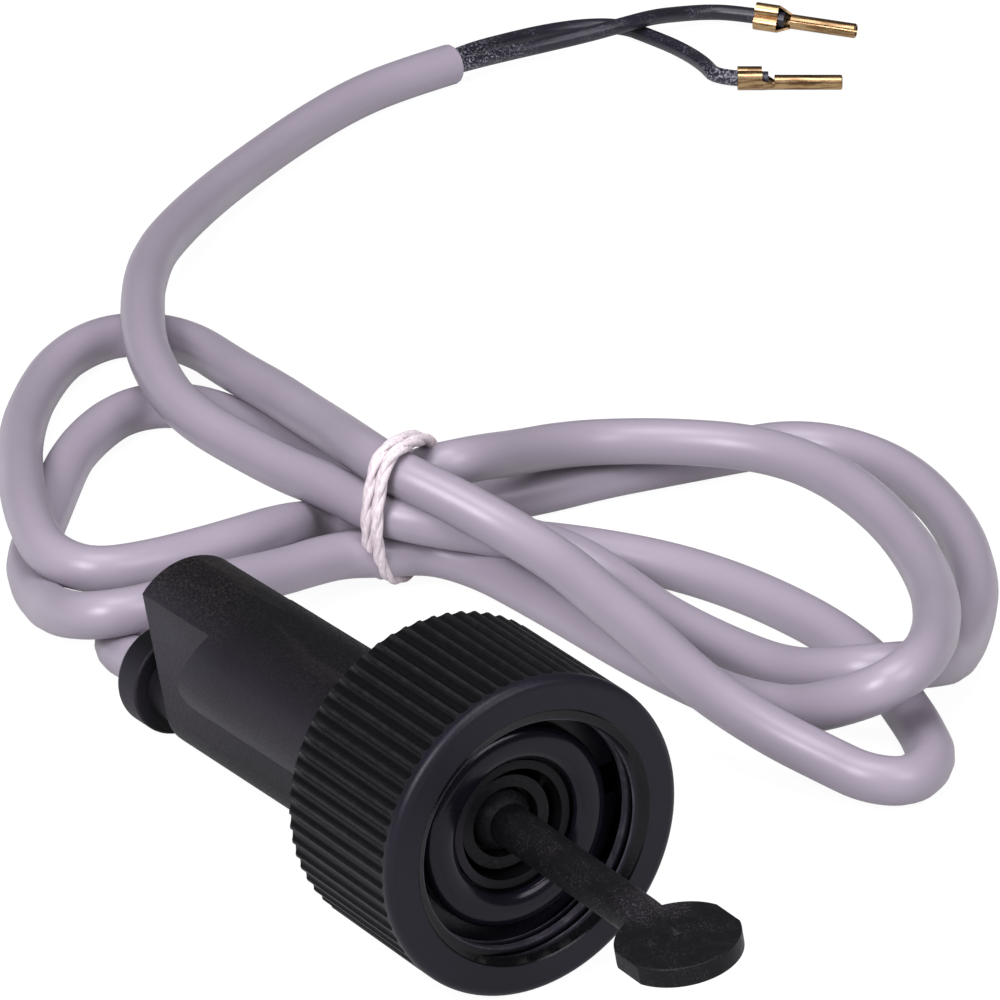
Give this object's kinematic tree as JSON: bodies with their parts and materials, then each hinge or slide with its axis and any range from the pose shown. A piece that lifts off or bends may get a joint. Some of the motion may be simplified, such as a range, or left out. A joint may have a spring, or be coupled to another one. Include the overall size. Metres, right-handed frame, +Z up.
{
  "type": "paddle flow switch",
  "caption": "Black paddle flow switch: union nut with a fluted grip, swinging disc paddle, flat-sided housing and a grey cable tied in a hank with two crimped pins.",
  "frame": {"origin": "on the table under the middle of the switch, measured from the paddle's tip to the cable collar and across the union nut, cable left out", "axes": "+X along the union nut's axis towards the paddle, +Z up from the table, +Y to the side where the cable hank lies"},
  "size_m": [0.3113, 0.2452, 0.042],
  "materials": {
    "housing": "matte moulded, dusty",
    "nut": "satin moulded",
    "ring": "satin",
    "seal": "smooth rubber",
    "paddle": "matte moulded",
    "magnet": "ferrite grey",
    "steel": "plain steel",
    "board": "green laminate",
    "glass": "clear glass",
    "solder": "bright solder",
    "potting": "cast resin",
    "grommet": "rubber",
    "jacket": "satin grey cable jacket",
    "core": "black core insulation",
    "contact": "gold-plated brass",
    "string": "white twisted string"
  },
  "bodies": {
    "housing": {"switch_housing": "housing", "split_ring": "ring", "face_seal": "seal", "return_magnet": "magnet", "pivot_pin": "steel", "reed_board": "board", "reed_capsule": "glass", "reed_wire_front": "steel", "reed_wire_rear": "steel", "solder_joints": "solder", "inner_core_1": "core", "inner_core_2": "core", "potting_plug": "potting", "cable_grommet": "grommet", "cable_lead": "jacket", "cable_hank": "jacket", "cable_tail": "jacket", "tail_core_1": "core", "tail_core_2": "core", "crimp_contact_1": "contact", "crimp_contact_2": "contact", "string_tie": "string"},
    "nut": {"union_nut": "nut"},
    "paddle": {"paddle_lever": "paddle", "lever_magnet": "magnet"}
  },
  "joints": [
    {"name": "nut_spin", "type": "hinge", "parent": "housing", "child": "nut", "pos_m": [0.02489, 0, 0.021], "axis": [1, 0, 0], "continuous": true},
    {"name": "paddle_swing", "type": "hinge", "parent": "housing", "child": "paddle", "pos_m": [0.0139, 0, 0.02069], "axis": [0.0047, -0.9863, -0.165], "range_deg": [0, 10], "stiffness_Nm_per_rad": 0.05}
  ]
}
